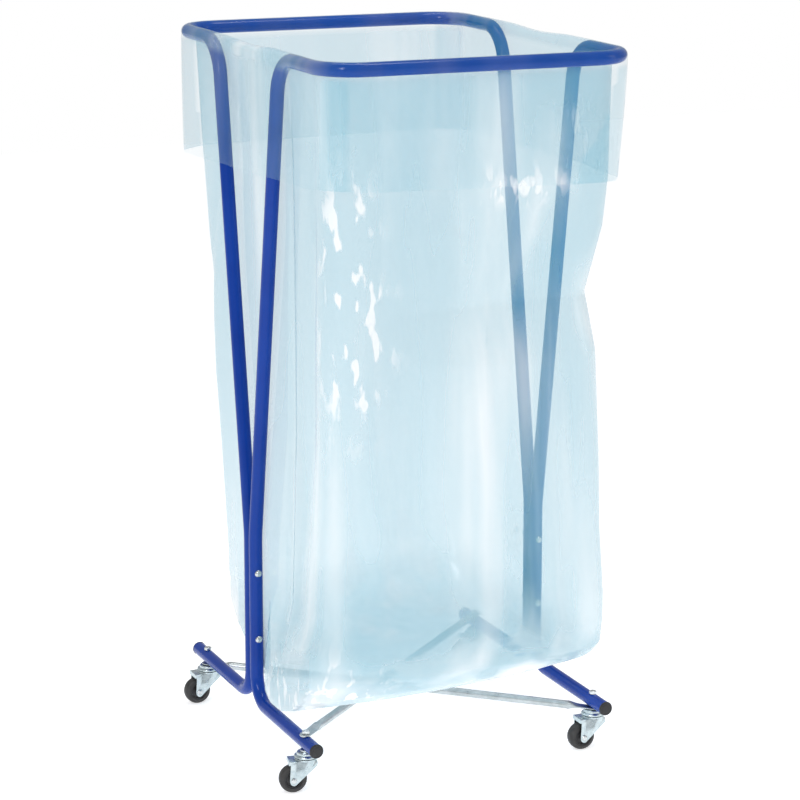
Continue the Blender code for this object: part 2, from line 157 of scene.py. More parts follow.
def turned_mesh(profile, steps=64, closed=False):
    """(radius, height) pairs turned round Z; ends on the axis close themselves."""
    bm = bmesh.new()
    rings = []
    for radius, height in profile:
        if radius < 1e-7:
            rings.append([bm.verts.new((0, 0, height))])
            continue
        turns = [math.tau * step / steps for step in range(steps)]
        rings.append([bm.verts.new((radius * math.cos(t), radius * math.sin(t), height)) for t in turns])
    pairs = list(zip(rings, rings[1:]))
    if closed:
        pairs.append((rings[-1], rings[0]))
    for one, two in pairs:
        for at in range(steps):
            after = (at + 1) % steps
            corners = [one[at % len(one)], one[after % len(one)], two[after % len(two)], two[at % len(two)]]
            corners = list(dict.fromkeys(corners))
            if len(corners) > 2:
                bm.faces.new(corners)
    bmesh.ops.recalc_face_normals(bm, faces=bm.faces)
    mesh = bpy.data.meshes.new("turned")
    bm.to_mesh(mesh)
    bm.free()
    return mesh


def rounded_profile(profile, cut=0.0004, closed=False):
    """The profile with each corner that is off the axis cut by a small round."""
    made = []
    count = len(profile)
    for at, spot in enumerate(profile):
        here = Vector(spot)
        if not closed and at in (0, count - 1):
            made.append(tuple(here))
            continue
        before = Vector(profile[at - 1]) - here
        after = Vector(profile[(at + 1) % count]) - here
        reach = min(cut, before.length * 0.45, after.length * 0.45)
        start = here + before.normalized() * reach
        end = here + after.normalized() * reach
        for step in range(4):
            share = step / 3
            made.append(tuple(start.lerp(here, share).lerp(here.lerp(end, share), share)))
    return made


def loft_mesh(loops, caps=(True, True)):
    bm = bmesh.new()
    rows = [[bm.verts.new(point) for point in loop] for loop in loops]
    for upper, lower in zip(rows, rows[1:]):
        for at in range(len(upper)):
            after = (at + 1) % len(upper)
            bm.faces.new((upper[at], upper[after], lower[after], lower[at]))
    for row, wanted in zip((rows[0], rows[-1]), caps):
        if wanted:
            middle = bm.verts.new(sum((spot.co for spot in row), Vector()) / len(row))
            for at in range(len(row)):
                bm.faces.new((row[at], row[(at + 1) % len(row)], middle))
    bmesh.ops.recalc_face_normals(bm, faces=bm.faces)
    mesh = bpy.data.meshes.new("loft")
    bm.to_mesh(mesh)
    bm.free()
    return mesh


def merged_copy(node):
    """A CAD node's mesh as one welded surface."""
    mesh = frame["nodes"][node].data.copy()
    mesh.materials.clear()
    return cleaned(mesh, 2e-6)


def finished(name, mesh, body, slot_name, material, *nodes):
    """A piece that rides on its body and stands for its CAD nodes."""
    mesh.materials.clear()
    mesh.materials.append(material)
    piece = new_object(name, soften(mesh))
    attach(piece, body)
    if nodes:
        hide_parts(*nodes)
    return piece


# ---- shader groups ----
def new_group(name, inputs, outputs):
    group = bpy.data.node_groups.new(name, "ShaderNodeTree")
    for label, kind, value in inputs:
        socket = group.interface.new_socket(label, in_out="INPUT", socket_type=kind)
        if value is not None:
            socket.default_value = value
    for label, kind in outputs:
        group.interface.new_socket(label, in_out="OUTPUT", socket_type=kind)
    return group, group.nodes.new("NodeGroupInput"), group.nodes.new("NodeGroupOutput")


def maths(tree, operation, one, two, clamp=False):
    node = tree.nodes.new("ShaderNodeMath")
    node.operation = operation
    node.use_clamp = clamp
    for socket, value in zip(node.inputs, (one, two)):
        if isinstance(value, (int, float)):
            socket.default_value = value
        else:
            tree.links.new(value, socket)
    return node.outputs[0]


def spread(tree, value, low, high, to_low=0.0, to_high=1.0):
    node = tree.nodes.new("ShaderNodeMapRange")
    tree.links.new(value, node.inputs["Value"])
    node.inputs["From Min"].default_value = low
    node.inputs["From Max"].default_value = high
    node.inputs["To Min"].default_value = to_low
    node.inputs["To Max"].default_value = to_high
    return node.outputs["Result"]


def mixed(tree, factor, one, two):
    node = tree.nodes.new("ShaderNodeMix")
    node.data_type = "RGBA"
    tree.links.new(factor, node.inputs[0])
    for socket, value in ((node.inputs[6], one), (node.inputs[7], two)):
        if isinstance(value, tuple):
            socket.default_value = (*value, 1.0)
        else:
            tree.links.new(value, socket)
    return node.outputs[2]


def cloud(tree, place, scale, detail=3.0, rough=0.55):
    node = tree.nodes.new("ShaderNodeTexNoise")
    node.inputs["Detail"].default_value = detail
    node.inputs["Roughness"].default_value = rough
    tree.links.new(place, node.inputs["Vector"])
    if isinstance(scale, (int, float)):
        node.inputs["Scale"].default_value = scale
    else:
        tree.links.new(scale, node.inputs["Scale"])
    return node.outputs["Fac"]


def stretched(tree, place, scale):
    node = tree.nodes.new("ShaderNodeMapping")
    node.inputs["Scale"].default_value = scale
    tree.links.new(place, node.inputs["Vector"])
    return node.outputs["Vector"]


def make_grain_group():
    """Two sizes of noise: a broad mottle for colour and gloss, and a fine grain for height."""
    inputs = [
        ("Vector", "NodeSocketVector", None),
        ("Mottle Scale", "NodeSocketFloat", 18.0),
        ("Grain Scale", "NodeSocketFloat", 900.0),
    ]
    outputs = [("Mottle", "NodeSocketFloat"), ("Grain", "NodeSocketFloat"), ("Specks", "NodeSocketFloat")]
    group, given, out = new_group("surface grain", inputs, outputs)
    broad = cloud(group, given.outputs["Vector"], given.outputs["Mottle Scale"], 5.0)
    fine = cloud(group, given.outputs["Vector"], given.outputs["Grain Scale"], 2.0)
    group.links.new(spread(group, broad, 0.32, 0.68), out.inputs["Mottle"])
    group.links.new(fine, out.inputs["Grain"])
    group.links.new(spread(group, fine, 0.66, 0.74), out.inputs["Specks"])
    return group


def make_film_group():
    """Haze and relief of thin film: long soft pulls down its length, and small bright glints that are painted
    highlights, whitening the colour where light would glint.
    """
    outputs = [("Haze", "NodeSocketFloat"), ("Painted Glint", "NodeSocketFloat"), ("Relief", "NodeSocketFloat")]
    group, given, out = new_group("film pulls", [("Vector", "NodeSocketVector", None)], outputs)
    place = given.outputs["Vector"]
    pulls = cloud(group, stretched(group, place, (13.0, 13.0, 1.0)), 1.0, 2.0, 0.5)
    slack = cloud(group, stretched(group, place, (4.0, 4.0, 1.6)), 1.0, 2.0)
    crease_and_glint = cloud(group, stretched(group, place, (48.0, 48.0, 17.0)), 1.0, 2.0, 0.5)
    haze = maths(group, "MULTIPLY", spread(group, pulls, 0.42, 0.70), spread(group, slack, 0.35, 0.62))
    group.links.new(haze, out.inputs["Haze"])
    # painted highlight: bright glints wherever the fine crease noise passes its threshold
    group.links.new(spread(group, crease_and_glint, 0.54, 0.62), out.inputs["Painted Glint"])
    long_part = maths(group, "MULTIPLY", pulls, 0.94)
    small_part = maths(group, "MULTIPLY", crease_and_glint, 0.06)
    relief = maths(group, "ADD", long_part, small_part)
    group.links.new(relief, out.inputs["Relief"])
    return group


GRAIN = make_grain_group()
FILM_PULLS = make_film_group()


def started(name):
    """A new material with its shader and object coordinates."""
    made = bpy.data.materials.new(name)
    made.use_nodes = True
    tree = made.node_tree
    shader = tree.nodes["Principled BSDF"]
    place = tree.nodes.new("ShaderNodeTexCoord").outputs["Object"]
    return made, tree, shader, place


def raised(tree, shader, height, distance, strength=1.0):
    bump = tree.nodes.new("ShaderNodeBump")
    bump.inputs["Distance"].default_value = distance
    bump.inputs["Strength"].default_value = strength
    tree.links.new(height, bump.inputs["Height"])
    tree.links.new(bump.outputs["Normal"], shader.inputs["Normal"])


def grained(name, dark, light, rough, metal=0.0, mottle=18.0, grain=900.0, bump=0.00004, coat=0.0, shine=0.5):
    """A solid finish: colour and gloss wander between two values, with a fine relief and rare specks."""
    made, tree, shader, place = started(name)
    group = tree.nodes.new("ShaderNodeGroup")
    group.node_tree = GRAIN
    tree.links.new(place, group.inputs["Vector"])
    group.inputs["Mottle Scale"].default_value = mottle
    group.inputs["Grain Scale"].default_value = grain
    colour = mixed(tree, group.outputs["Mottle"], dark, light)
    worn = tuple(0.6 * value for value in dark)
    tree.links.new(mixed(tree, group.outputs["Specks"], colour, worn), shader.inputs["Base Color"])
    gloss = spread(tree, group.outputs["Mottle"], 0.0, 1.0, rough[0], rough[1])
    tree.links.new(gloss, shader.inputs["Roughness"])
    shader.inputs["Metallic"].default_value = metal
    shader.inputs["Specular IOR Level"].default_value = shine
    shader.inputs["Coat Weight"].default_value = coat
    shader.inputs["Coat Roughness"].default_value = 0.12
    raised(tree, shader, group.outputs["Grain"], bump)
    return made


FILM_HIDES = 0.31  # how much of what is behind one thickness of film is hidden


def film_material():
    made, tree, shader, place = started("pale film")
    group = tree.nodes.new("ShaderNodeGroup")
    group.node_tree = FILM_PULLS
    tree.links.new(place, group.inputs["Vector"])
    milk_and_sheen = tree.nodes.new("ShaderNodeAttribute")
    milk_and_sheen.attribute_name = "milk_and_sheen"
    painted_gleam = tree.nodes.new("ShaderNodeAttribute")
    painted_gleam.attribute_name = "painted_gleam"
    # painted highlight: the glints, kept to the listed gleam places, whiten the film's colour and make it
    # less clear
    painted_glint = maths(tree, "MULTIPLY", group.outputs["Painted Glint"], painted_gleam.outputs["Fac"])
    haze_and_glint = maths(tree, "ADD", maths(tree, "MULTIPLY", group.outputs["Haze"], 0.5), painted_glint)
    # whitening read from the mesh: partly the film's own milkiness, partly painted highlight
    white = maths(tree, "ADD", haze_and_glint, maths(tree, "MULTIPLY", milk_and_sheen.outputs["Fac"], 0.45), clamp=True)
    colour = mixed(tree, spread(tree, white, 0.0, 0.55), (0.10, 0.47, 0.62), (0.92, 0.96, 0.98))
    tree.links.new(colour, shader.inputs["Base Color"])
    tree.links.new(spread(tree, group.outputs["Haze"], 0.0, 1.0, 0.07, 0.18), shader.inputs["Roughness"])
    veil = tree.nodes.new("ShaderNodeAttribute")
    veil.attribute_name = "veil"
    hidden = maths(tree, "MULTIPLY_ADD", white, 0.45)
    hidden.node.inputs[2].default_value = FILM_HIDES
    shown = maths(tree, "MULTIPLY", hidden, veil.outputs["Fac"], clamp=True)
    tree.links.new(shown, shader.inputs["Alpha"])
    shader.inputs["IOR"].default_value = 1.5
    raised(tree, shader, group.outputs["Relief"], 0.004, 0.22)
    return made


BLUE = grained("blue powder coat", (0.005, 0.040, 0.290), (0.007, 0.052, 0.345), (0.12, 0.19), coat=0.08,
               shine=0.14, mottle=9.0, grain=700.0, bump=0.00005)
PLUG = grained("black plug plastic", (0.012, 0.012, 0.014), (0.024, 0.024, 0.027), (0.38, 0.52),
               mottle=120.0, grain=1500.0)
RUBBER = grained("black rubber", (0.016, 0.016, 0.017), (0.045, 0.044, 0.044), (0.45, 0.66), mottle=90.0,
                 grain=1300.0, bump=0.00008)
WHEEL_CENTRE = grained("wheel centre plastic", (0.018, 0.018, 0.020), (0.034, 0.034, 0.037), (0.34, 0.48),
                       mottle=110.0, grain=1400.0)
ZINC_PRESSING = grained("bright zinc pressing", (0.46, 0.55, 0.58), (0.66, 0.74, 0.76), (0.22, 0.40),
                        metal=1.0, mottle=150.0, grain=1800.0, bump=0.00003)
ZINC_TUBE = grained("bright zinc tube", (0.42, 0.46, 0.47), (0.60, 0.64, 0.65), (0.26, 0.42), metal=1.0,
                    mottle=60.0, grain=1400.0, bump=0.00003)
ZINC_FASTENER = grained("bright zinc fastener", (0.52, 0.56, 0.57), (0.74, 0.77, 0.78), (0.20, 0.34),
                        metal=1.0, mottle=200.0, grain=2200.0, bump=0.00003)
FILM = film_material()


# ---- frame tubes, plugs and braces ----
def tube_path(y_sign):
    sides = []
    for x_sign in (-1, 1):
        x = MID_X + x_sign * HALF_WIDTH
        corners = [
            (MID_X, y_sign * HALF_DEPTH, RAIL_HEIGHT),
            (x, y_sign * HALF_DEPTH, RAIL_HEIGHT),
            (x, y_sign * LEG_TOP_DEPTH, RAIL_HEIGHT),
            (x, y_sign * UPRIGHT_DEPTH, LEGS_MEET_HEIGHT),
            (x, y_sign * UPRIGHT_DEPTH, FOOT_HEIGHT),
            (x, y_sign * FOOT_REACH, FOOT_HEIGHT),
        ]
        sides.append(rounded_path(corners, TUBE_BENDS))
    return sides[0][:0:-1] + sides[1][1:]


def plug_mesh():
    profile = [(0, 0.0030), (0.0062, 0.0029), (0.0066, 0.0024), (0.0078, 0.0024), (0.0083, 0.0028)]
    profile += [(0.0098, 0.0021), (0.0105, 0.0003), (0.0079, 0.0003), (0.0079, -0.010), (0, -0.010)]
    return turned_mesh(rounded_profile(profile, 0.0003))


def brace_point(x, wide, thick, turn):
    power = 1.0 if wide == thick else 0.35
    lift = math.copysign(abs(math.sin(turn)) ** power, math.sin(turn))
    return Vector((x, wide * math.cos(turn), thick * lift))


def brace_mesh(length, sides=40):
    """A round tube along X, pressed flat at both ends with a smooth run-out."""
    half = length / 2
    near = []
    for step in range(9):
        turn = math.pi / 2 * step / 8
        wide = BRACE_NOSE + (BRACE_END - BRACE_NOSE) * math.sin(turn)
        near.append((half + BRACE_TIP * math.cos(turn), wide, BRACE_FLAT / 2))
    near.append((half - BRACE_RUN, BRACE_END, BRACE_FLAT / 2))
    for step in range(1, 11):
        share = step / 10
        ease = share * share * (3 - 2 * share)
        wide = BRACE_END + (BRACE_RADIUS - BRACE_END) * ease
        thick = BRACE_FLAT / 2 + (BRACE_RADIUS - BRACE_FLAT / 2) * ease
        near.append((half - BRACE_RUN - BRACE_RUN * share, wide, thick if step < 10 else wide))
    stations = [(-x, wide, thick) for x, wide, thick in near] + near[::-1]
    turns = [math.tau * (step + 0.5) / sides for step in range(sides)]
    return loft_mesh([[brace_point(x, wide, thick, turn) for turn in turns] for x, wide, thick in stations])


def add_frame():
    for side, y_sign in SIDES.items():
        node = f"{side}_frame_tube"
        mesh = bar_mesh(tube_path(y_sign), TUBE_RADIUS)
        finished(f"{side}_tube", mesh, "root", "blue_powder_coat", BLUE, node)
    for foot in FEET:
        node = f"foot_plug_{foot}"
        low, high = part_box(node)
        y_sign = 1 if high.y > 0 else -1
        mesh = plug_mesh()
        place = Matrix.Translation(((low.x + high.x) / 2, y_sign * FOOT_REACH, (low.z + high.z) / 2))
        mesh.transform(place @ Matrix.Rotation(-y_sign * math.pi / 2, 4, "X"))
        finished(f"end_plug_{foot}", mesh, "root", "black_plug_plastic", PLUG, node)
    for level, sign in (("upper", 1), ("lower", -1)):
        node = f"cross_brace_{level}"
        low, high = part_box(node)
        bolts = [Vector(JOINTS[f"swivel_{foot}"]["pos_m"]) for foot in ("front_left", "rear_right")]
        across = bolts[1] - bolts[0]
        mesh = brace_mesh(math.hypot(across.x, across.y))
        place = Matrix.Translation((MID_X, 0, (low.z + high.z) / 2))
        mesh.transform(place @ Matrix.Rotation(sign * math.atan2(across.y, across.x), 4, "Z"))
        finished(f"brace_{level}", mesh, "root", "zinc_tube", ZINC_TUBE, node)


# ---- fasteners ----
def hexagon_mesh(flats, height, chamfer=0.0005):
    corner = flats / math.sqrt(3)
    loops = []
    for z, size in ((0, corner), (height - chamfer, corner), (height, corner - 1.6 * chamfer)):
        turns = [math.tau * step / 6 for step in range(6)]
        loops.append([Vector((size * math.cos(turn), size * math.sin(turn), z)) for turn in turns])
    return loft_mesh(loops)


def domed_head_mesh():
    profile = [(0, DOME_HEIGHT), (0.0012, 0.00335), (0.0024, 0.0031), (0.0034, 0.0026), (0.0042, 0.0019)]
    profile += [(0.0049, 0.0010), (0.0052, 0.0002), (0.0051, 0), (0, 0)]
    return turned_mesh(profile, 32)


def fastener_tree():
    """Stands one fastener on each point, gives each its own small turn, and makes them one mesh."""
    tree = bpy.data.node_groups.new("fasteners on points", "GeometryNodeTree")
    sockets = {}
    wanted = [
        ("Points", "NodeSocketGeometry"),
        ("Fastener", "NodeSocketObject"),
        ("Lie", "NodeSocketVector"),
        ("Largest Turn", "NodeSocketFloat"),
        ("Seed", "NodeSocketInt"),
        ("Finish", "NodeSocketMaterial"),
    ]
    for label, kind in wanted:
        sockets[label] = tree.interface.new_socket(label, in_out="INPUT", socket_type=kind).identifier
    tree.interface.new_socket("Fasteners", in_out="OUTPUT", socket_type="NodeSocketGeometry")
    given = tree.nodes.new("NodeGroupInput")
    out = tree.nodes.new("NodeGroupOutput")
    source = tree.nodes.new("GeometryNodeObjectInfo")
    stand = tree.nodes.new("GeometryNodeInstanceOnPoints")
    turn = tree.nodes.new("FunctionNodeRandomValue")
    angles = tree.nodes.new("ShaderNodeCombineXYZ")
    twist = tree.nodes.new("GeometryNodeRotateInstances")
    real = tree.nodes.new("GeometryNodeRealizeInstances")
    paint = tree.nodes.new("GeometryNodeSetMaterial")
    turn.data_type = "FLOAT"
    link = tree.links.new
    link(given.outputs["Points"], stand.inputs["Points"])
    link(given.outputs["Fastener"], source.inputs["Object"])
    link(source.outputs["Geometry"], stand.inputs["Instance"])
    link(given.outputs["Lie"], stand.inputs["Rotation"])
    link(given.outputs["Largest Turn"], turn.inputs[3])
    link(given.outputs["Seed"], turn.inputs["Seed"])
    link(turn.outputs[1], angles.inputs["Z"])
    link(stand.outputs["Instances"], twist.inputs["Instances"])
    link(angles.outputs["Vector"], twist.inputs["Rotation"])
    link(twist.outputs["Instances"], real.inputs["Geometry"])
    link(real.outputs["Geometry"], paint.inputs["Geometry"])
    link(given.outputs["Finish"], paint.inputs["Material"])
    link(paint.outputs["Geometry"], out.inputs["Fasteners"])
    return tree, sockets


def add_fasteners(name, shape, points, lie, seed, nodes):
    tree, sockets = FASTENERS
    source = new_object("fastener shape", soften(shape))
    spots = bpy.data.meshes.new("fastener places")
    spots.from_pydata([tuple(point) for point in points], [], [])
    holder = new_object("fastener holder", spots)
    modifier = holder.modifiers.new("fasteners", "NODES")
    modifier.node_group = tree
    modifier[sockets["Fastener"]] = source
    modifier[sockets["Lie"]] = lie
    modifier[sockets["Largest Turn"]] = 1.0
    modifier[sockets["Seed"]] = seed
    modifier[sockets["Finish"]] = ZINC_FASTENER
    bpy.context.view_layer.update()
    mesh = plain_mesh(holder)
    bpy.data.objects.remove(source, do_unlink=True)
    finished(name, mesh, "root", "zinc_fastener", ZINC_FASTENER, *nodes)


def add_all_fasteners():
    leg = [f"{side}_{level}" for side in ("left", "right") for level in ("upper", "lower")]
    heads, nuts = [], []
    for name in leg:
        low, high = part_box(f"leg_bolt_{name}")
        middle = (low + high) / 2
        heads.append((middle.x, low.y + DOME_HEIGHT, middle.z))
        low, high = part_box(f"leg_nut_{name}")
        nuts.append((middle.x, low.y, middle.z))
    forwards = (math.pi / 2, 0.0, 0.0)
    bolts = [f"leg_bolt_{name}" for name in leg]
    add_fasteners("leg_bolt_heads", domed_head_mesh(), heads, forwards, 3, bolts)
    back = (-math.pi / 2, 0.0, 0.0)
    nodes = [f"leg_nut_{name}" for name in leg]
    add_fasteners("leg_nuts", hexagon_mesh(HEX_FLATS, 0.005), nuts, back, 5, nodes)
    tops = []
    for foot in FEET:
        low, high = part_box(f"foot_bolt_{foot}")
        middle = (low + high) / 2
        tops.append((middle.x, middle.y, high.z - HEX_HEAD))
    upright = (0.0, 0.0, 0.0)
    bolts = [f"foot_bolt_{foot}" for foot in FEET]
    add_fasteners("foot_bolt_heads", hexagon_mesh(HEX_FLATS, HEX_HEAD), tops, upright, 8, bolts)


FASTENERS = fastener_tree()


# ---- casters ----
def caster_place(foot):
    """From a caster's own space, where it trails towards +X, to where it stands."""
    axle = Vector(JOINTS[f"roll_{foot}"]["axis"]).normalized()
    spot = Vector(JOINTS[f"swivel_{foot}"]["pos_m"])
    turned = Matrix(((axle.y, axle.x, 0, 0), (-axle.x, axle.y, 0, 0), (0, 0, 1, 0), (0, 0, 0, 1)))
    return Matrix.Translation((spot.x, spot.y, 0)) @ turned


def axle_place(foot):
    place = caster_place(foot)
    place.translation = Vector(JOINTS[f"roll_{foot}"]["pos_m"])
    return place @ Matrix.Rotation(math.pi / 2, 4, "X")


def head_mesh():
    profile = [(0.0122, HEAD_TOP), (0.0132, HEAD_TOP - 0.0010), (0.0134, 0.0552), (0.0150, 0.0549)]
    profile += [(0.0163, 0.0543), (0.0170, 0.0532), (0.0170, 0.0515), (0.0156, 0.0515), (0.0150, 0.0533)]
    profile += [(0.0056, 0.0533), (0.0056, 0.0459), (0.0085, 0.0459), (0.0080, 0.0442), (0.0033, 0.0442)]
    profile += [(0.0033, HEAD_TOP)]
    return turned_mesh(rounded_profile(profile, 0.0003, closed=True), closed=True)


def tyre_mesh():
    half = [(HUB_RADIUS + 0.0003, 0.0090), (0.0140, 0.0090), (0.0148, 0.0090), (0.0160, 0.0085)]
    half += [(0.0174, 0.0080), (0.0188, 0.0068), (0.0196, 0.0050), (0.0200, 0.0026), (0.0200, 0.0)]
    profile = half + [(radius, -y) for radius, y in half[-2::-1]]
    return turned_mesh(profile, 96, closed=True)


def hub_mesh():
    near = [(0.0052, 0.0102), (0.0056, 0.0056), (0.0103, 0.0056), (0.0109, 0.0082), (HUB_RADIUS, 0.0082)]
    profile = near + [(radius, -y) for radius, y in reversed(near)] + [(0.00325, -0.0102), (0.00325, 0.0102)]
    return turned_mesh(rounded_profile(profile, 0.0003, closed=True), closed=True)


def axle_mesh():
    seat = FORK_HALF + 0.0003
    near = [(0, seat + 0.0016), (0.0018, seat + 0.0015), (0.0032, seat + 0.0012), (0.0044, seat)]
    near += [(AXLE_RADIUS, seat)]
    profile = near + [(radius, -y) for radius, y in reversed(near)]
    return turned_mesh(rounded_profile(profile, 0.0002), 48)


def fork_mesh(node):
    made = new_object("fork", merged_copy(node))
    bevel = made.modifiers.new("rounded edges", "BEVEL")
    bevel.width = 0.00035
    bevel.segments = 2
    bevel.angle_limit = math.radians(40)
    bpy.context.view_layer.update()
    return plain_mesh(made)


def add_casters():
    for foot in FEET:
        mesh = head_mesh()
        mesh.transform(caster_place(foot))
        finished(f"swivel_head_{foot}", mesh, "root", "zinc_pressing", ZINC_PRESSING, f"caster_head_{foot}")
        node = f"caster_fork_{foot}"
        finished(f"fork_{foot}", fork_mesh(node), f"caster_{foot}", "zinc_pressing", ZINC_PRESSING, node)
        for name, shape, body, slot_name, material, node in (
            ("axle", axle_mesh(), "caster", "zinc_fastener", ZINC_FASTENER, "wheel_axle"),
            ("wheel_centre", hub_mesh(), "wheel", "wheel_centre_plastic", WHEEL_CENTRE, "wheel_hub"),
            ("tyre", tyre_mesh(), "wheel", "black_rubber", RUBBER, "wheel_tyre"),
        ):
            shape.transform(axle_place(foot))
            finished(f"{name}_{foot}", shape, f"{body}_{foot}", slot_name, material, f"{node}_{foot}")


# ---- film sack ----
FILM_GAP = 0.0109  # tube centre to the film round it
HEM_HEIGHT = 0.8575
SACK_BOTTOM = 0.0950
SEAM_Y = -0.020
SACK_X = 0.2142
SACK_Y = 0.2920
SACK_CORNER = 0.045
CORNER_STEPS = 12
LONG_STEPS = 44
SHORT_STEPS = 58

# how far each corner of the hanging sack is from its full-size place,
# as (height, inwards along X, inwards along Y)
CORNER_PULL = {
    (1, -1): [
        (1.02, 0, 0), (0.86, 0.002, 0.002), (0.79, 0.002, 0.018), (0.69, 0.010, 0.058), (0.61, 0.008, 0.024),
        (0.47, 0.008, 0.008), (0.35, 0.008, 0.000), (0.21, 0.004, -0.014), (0.14, -0.008, -0.016),
    ],
    (-1, 1): [
        (1.02, 0, 0), (0.86, 0.004, 0.012), (0.69, 0.004, 0.046), (0.52, 0.004, 0.058), (0.40, 0.006, 0.080),
        (0.25, 0.008, 0.104), (0.18, 0.010, 0.090),
    ],
    (-1, -1): [
        (1.02, 0, 0), (0.80, 0.004, 0.014), (0.50, 0.004, 0.026), (0.25, -0.008, 0.030),
        (0.14, -0.040, 0.016), (0.095, -0.055, -0.012),
    ],
    (1, 1): [(1.02, 0, 0), (0.80, 0.006, 0.020), (0.50, 0.008, 0.034), (0.25, 0.006, 0.040)],
}
# the sack's lower end, as (height, inwards along X, share of its full half depth)
LOWER_END = [(0.26, 0.000, 1.00), (0.21, 0.000, 0.965), (0.16, 0.001, 0.88), (0.130, 0.003, 0.76),
             (0.112, 0.006, 0.63), (0.100, 0.010, 0.46), (0.0955, 0.014, 0.25), (SACK_BOTTOM, 0.016, 0.0)]
# how far each lower corner rises
CORNER_LIFT = {(1, -1): 0.034, (1, 1): 0.034, (-1, 1): 0.030, (-1, -1): 0.0}
LEG_SIDE = 0.2152  # the widest the film may be where a leg stands beside it
WIDEST = 0.2400  # the widest it may be in front of and behind the legs
LEG_CLEARANCE = 0.0006  # least gap between the cuff and a leg
HEM_ROWS = 40
RAIL_STEPS = 16
HANG_ROWS = 118
LOWER_ROWS = 46
LOWER_START = 0.26  # height where the wall turns in towards the seal
EASE_DEPTH = 0.12  # how far below the rail the wall takes to reach its full size
SEAM_SHARE = 0.022  # depth of the sealed end, as a share of the full half depth
ROUND_SHARE = 0.02  # the same share, for the round of its corners
LIFT_SPAN = 0.166  # height over which the lower corners rise
CUFF_VEIL = 0.40  # how strongly the cuff shows, where the hanging wall is 1
TIGHT_VEIL = 0.16  # the same, where the film is drawn over a rail

# crumpled places, as (centre, reach, height of the crumple)
CRUMPLES = [
    ((0.212, 0.016, 0.267), 0.035, 0.007),
    ((-0.20, -0.16, 0.18), 0.050, 0.006),
    ((0.10, -0.24, 0.13), 0.060, 0.005),
    ((0.20, -0.10, 0.90), 0.045, 0.005),
]
# places given painted highlights, small bright glints painted into the film's colour, as (centre, reach along
# each axis)
PAINTED_GLEAMS = [
    ((-0.185, -0.275, 0.80), (0.030, 0.050, 0.075)),
    ((-0.175, -0.275, 0.65), (0.050, 0.050, 0.100)),
    ((0.215, 0.016, 0.267), (0.060, 0.026, 0.040)),
    ((0.200, -0.200, 0.90), (0.040, 0.060, 0.045)),
    ((-0.190, -0.180, 0.15), (0.060, 0.070, 0.050)),
    ((0.060, -0.300, 0.86), (0.060, 0.030, 0.020)),
    ((0.000, -0.100, 0.10), (0.160, 0.050, 0.020)),
]


def between(table, height):
    """The table's values at a height, eased between its rows. The table runs from high to low."""
    if height >= table[0][0]:
        return table[0][1:]
    for (high, *upper), (low, *lower) in zip(table, table[1:]):
        if height >= low:
            share = (high - height) / (high - low)
            return tuple(a + (b - a) * share for a, b in zip(upper, lower))
    return table[-1][1:]


def ring_points(half_x, half_y, radius):
    """(x, y) round a rectangle with round corners, the same number for any size."""
    loop = []
    for quarter, (x_sign, y_sign) in enumerate(((1, 1), (-1, 1), (-1, -1), (1, -1))):
        centre = np.array((x_sign * (half_x - radius), y_sign * (half_y - radius)))
        for step in range(CORNER_STEPS + 1):
            turn = math.pi / 2 * (quarter + step / CORNER_STEPS)
            loop.append(centre + radius * np.array((math.cos(turn), math.sin(turn))))
        steps = LONG_STEPS if quarter % 2 == 0 else SHORT_STEPS
        x_next, y_next = ((-1, 1), (-1, -1), (1, -1), (1, 1))[quarter]
        turn = math.pi / 2 * (quarter + 1)
        ahead = np.array((x_next * (half_x - radius), y_next * (half_y - radius)))
        ahead = ahead + radius * np.array((math.cos(turn), math.sin(turn)))
        start = loop[-1]
        loop.extend(start + (ahead - start) * step / steps for step in range(1, steps))
    return np.array(loop)


def unsupported(point):
    """1 halfway along a side, where no tube lies under the film, and 0 over the tubes."""
    reach = LEG_TOP_DEPTH - 0.012
    if abs(point[0]) < HALF_WIDTH - 0.03 or abs(point[1]) > reach:
        return 0.0
    return math.cos(math.pi / 2 * point[1] / reach) ** 2


